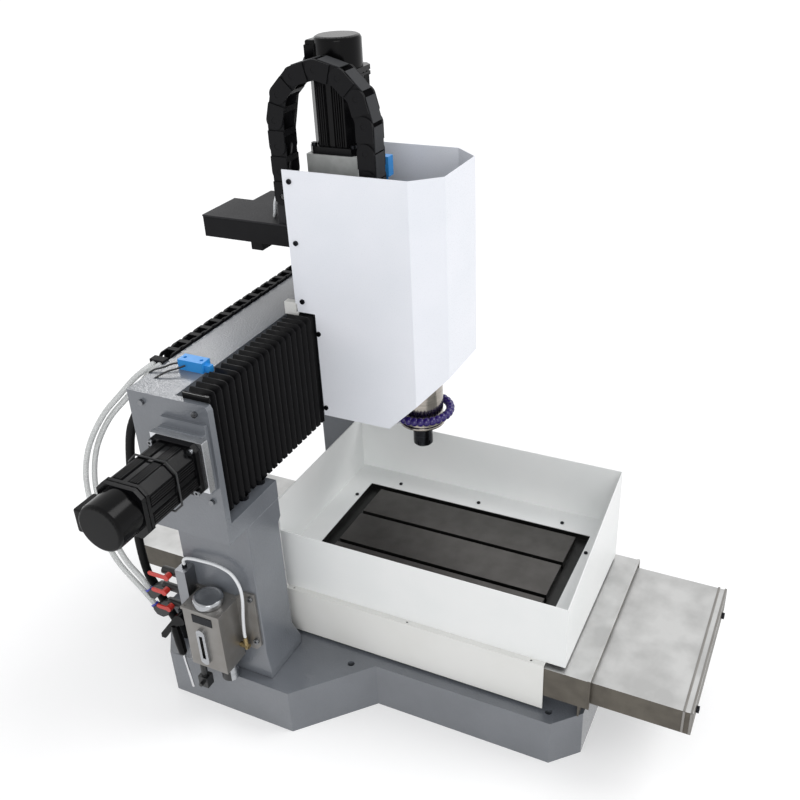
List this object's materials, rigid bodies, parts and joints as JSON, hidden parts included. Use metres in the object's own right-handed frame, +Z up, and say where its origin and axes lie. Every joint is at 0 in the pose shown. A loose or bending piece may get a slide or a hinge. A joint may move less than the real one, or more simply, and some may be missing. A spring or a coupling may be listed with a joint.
{
  "type": "cnc engraving machine",
  "caption": "Bench gantry engraving and milling machine: cast base, columns and beam, sliding head with a motor spindle, slotted table in a chip tray, folding covers and an oiler.",
  "frame": {"origin": "middle of the base casting's underside, on the floor plane", "axes": "+Z up, +X along the cross beam away from the lubricator, +Y from the operator's side to the back"},
  "size_m": [0.899, 1.138, 1.153],
  "materials": {
    "painted_casting": "satin grey-blue machine paint with a fine orange peel",
    "dark_casting": "satin dark grey paint",
    "ground_steel": "ground",
    "black_steel": "blackened",
    "bare_aluminium": "milled",
    "black_aluminium": "black anodised, drawn",
    "black_plastic": "semi-gloss",
    "blue_plastic": "semi-gloss",
    "red_plastic": "gloss",
    "dark_sheet": "matt powder coat",
    "cover_steel": "rolled, lengthwise grain",
    "tank_steel": "brushed",
    "cap_steel": "spun",
    "clear_plastic": "clear",
    "dull_brass": "dull",
    "white_nylon": "translucent",
    "clear_hose": "translucent",
    "black_rubber": "matt",
    "screw_steel": "blackened or bright",
    "white_sheet": "white powder coat",
    "tray_sheet": "white powder coat",
    "machined_iron": "machined",
    "table_iron": "milled, mottled",
    "polished_steel": "polished",
    "violet_plastic": "gloss",
    "blued_steel": "hardened and blackened",
    "bellows_cloth": "coated cloth, folded",
    "chain_plastic": "moulded nylon"
  },
  "bodies": {
    "frame": {"base_casting": "painted_casting", "left_column": "painted_casting", "right_column": "painted_casting", "cross_beam": "painted_casting", "linear_rails": "ground_steel", "screw_supports": "black_steel", "x_motor_plate": "bare_aluminium", "x_motor": "black_aluminium", "x_motor_cap": "black_plastic", "y_motor": "black_aluminium", "x_limit_switch": "blue_plastic", "chain_shelf": "dark_sheet", "fixed_covers": "cover_steel", "oil_tank": "tank_steel", "tank_lid": "tank_steel", "sight_glass": "clear_plastic", "oil_fittings": "dull_brass", "oil_tube": "white_nylon", "manifold_block": "bare_aluminium", "hose_elbows": "black_plastic", "coolant_hoses": "clear_hose", "conduit": "black_rubber", "frame_screws": "screw_steel", "bellows": "bellows_cloth", "x_chain": "chain_plastic", "z_chain": "chain_plastic"},
    "table": {"y_saddle": "dark_casting", "y_runners": "ground_steel", "t_slot_table": "table_iron", "chip_tray": "tray_sheet", "skirts": "tray_sheet", "outer_covers": "cover_steel"},
    "front_cover": {"front_cover_middle": "cover_steel"},
    "rear_cover": {"rear_cover_middle": "cover_steel"},
    "table_screw": {"y_screw": "ground_steel"},
    "carriage": {"x_saddle": "dark_casting", "x_runners": "ground_steel", "z_housing": "dark_casting", "z_rails": "ground_steel", "z_motor_mount": "bare_aluminium", "z_motor": "black_aluminium", "z_motor_cap": "black_plastic", "z_cover": "white_sheet", "cable_box": "dark_sheet", "cable_box_lid": "dark_sheet", "z_limit_switch": "blue_plastic", "head_screws": "screw_steel"},
    "beam_screw": {"x_screw": "ground_steel"},
    "head": {"z_slide": "machined_iron", "z_runners": "ground_steel", "spindle_clamp": "machined_iron", "spindle_body": "polished_steel", "coolant_ring": "violet_plastic"},
    "head_screw": {"z_screw": "ground_steel"},
    "spindle": {"spindle_rotor": "blued_steel"},
    "lever_top": {"valve_lever_top": "red_plastic"},
    "lever_middle": {"valve_lever_middle": "red_plastic"},
    "lever_low": {"valve_lever_low": "red_plastic"},
    "pump_arm": {"pump_lever": "black_plastic"},
    "filler_cap": {"tank_cap": "cap_steel"}
  },
  "joints": [
    {"name": "x_slide", "type": "slide", "parent": "frame", "child": "carriage", "axis": [1, 0, 0], "range_m": [-0.215, 0.06], "deforming": ["bellows", "x_chain"]},
    {"name": "y_slide", "type": "slide", "parent": "frame", "child": "table", "axis": [0, 1, 0], "range_m": [-0.06, 0.25]},
    {"name": "z_slide", "type": "slide", "parent": "carriage", "child": "head", "axis": [0, 0, 1], "range_m": [-0.118, 0.04], "deforming": ["z_chain"]},
    {"name": "spindle_spin", "type": "hinge", "parent": "head", "child": "spindle", "pos_m": [0.085, -0.025, 0.45], "axis": [0, 0, 1], "continuous": true},
    {"name": "x_screw_spin", "type": "hinge", "parent": "frame", "child": "beam_screw", "pos_m": [0, 0.168, 0.603], "axis": [1, 0, 0], "continuous": true},
    {"name": "y_screw_spin", "type": "hinge", "parent": "frame", "child": "table_screw", "pos_m": [0, 0, 0.138], "axis": [0, 1, 0], "continuous": true},
    {"name": "z_screw_spin", "type": "hinge", "parent": "carriage", "child": "head_screw", "pos_m": [0.085, 0.1, 0.7], "axis": [0, 0, 1], "continuous": true},
    {"name": "front_cover_slide", "type": "slide", "parent": "frame", "child": "front_cover", "axis": [0, 1, 0], "range_m": [-0.04, 0.13]},
    {"name": "rear_cover_slide", "type": "slide", "parent": "frame", "child": "rear_cover", "axis": [0, 1, 0], "range_m": [-0.04, 0.13]},
    {"name": "valve_top_turn", "type": "hinge", "parent": "frame", "child": "lever_top", "pos_m": [-0.32, 0.293, 0.3], "axis": [1, 0, 0], "range_deg": [0, 90]},
    {"name": "valve_middle_turn", "type": "hinge", "parent": "frame", "child": "lever_middle", "pos_m": [-0.32, 0.305, 0.262], "axis": [1, 0, 0], "range_deg": [0, 90]},
    {"name": "valve_low_turn", "type": "hinge", "parent": "frame", "child": "lever_low", "pos_m": [-0.32, 0.303, 0.224], "axis": [1, 0, 0], "range_deg": [0, 90]},
    {"name": "pump_turn", "type": "hinge", "parent": "frame", "child": "pump_arm", "pos_m": [-0.34, 0.262, 0.228], "axis": [1, 0, 0], "range_deg": [0, 60]},
    {"name": "filler_cap_turn", "type": "hinge", "parent": "frame", "child": "filler_cap", "pos_m": [-0.325, 0.207, 0.272], "axis": [0, 0, 1], "continuous": true}
  ],
  "couplings": [
    {"joint": "x_screw_spin", "follows": "x_slide", "rad_per_m": -628.32},
    {"joint": "y_screw_spin", "follows": "y_slide", "rad_per_m": -628.32},
    {"joint": "z_screw_spin", "follows": "z_slide", "rad_per_m": -628.32},
    {"joint": "front_cover_slide", "follows": "y_slide", "ratio": 0.47},
    {"joint": "rear_cover_slide", "follows": "y_slide", "ratio": 0.5}
  ]
}
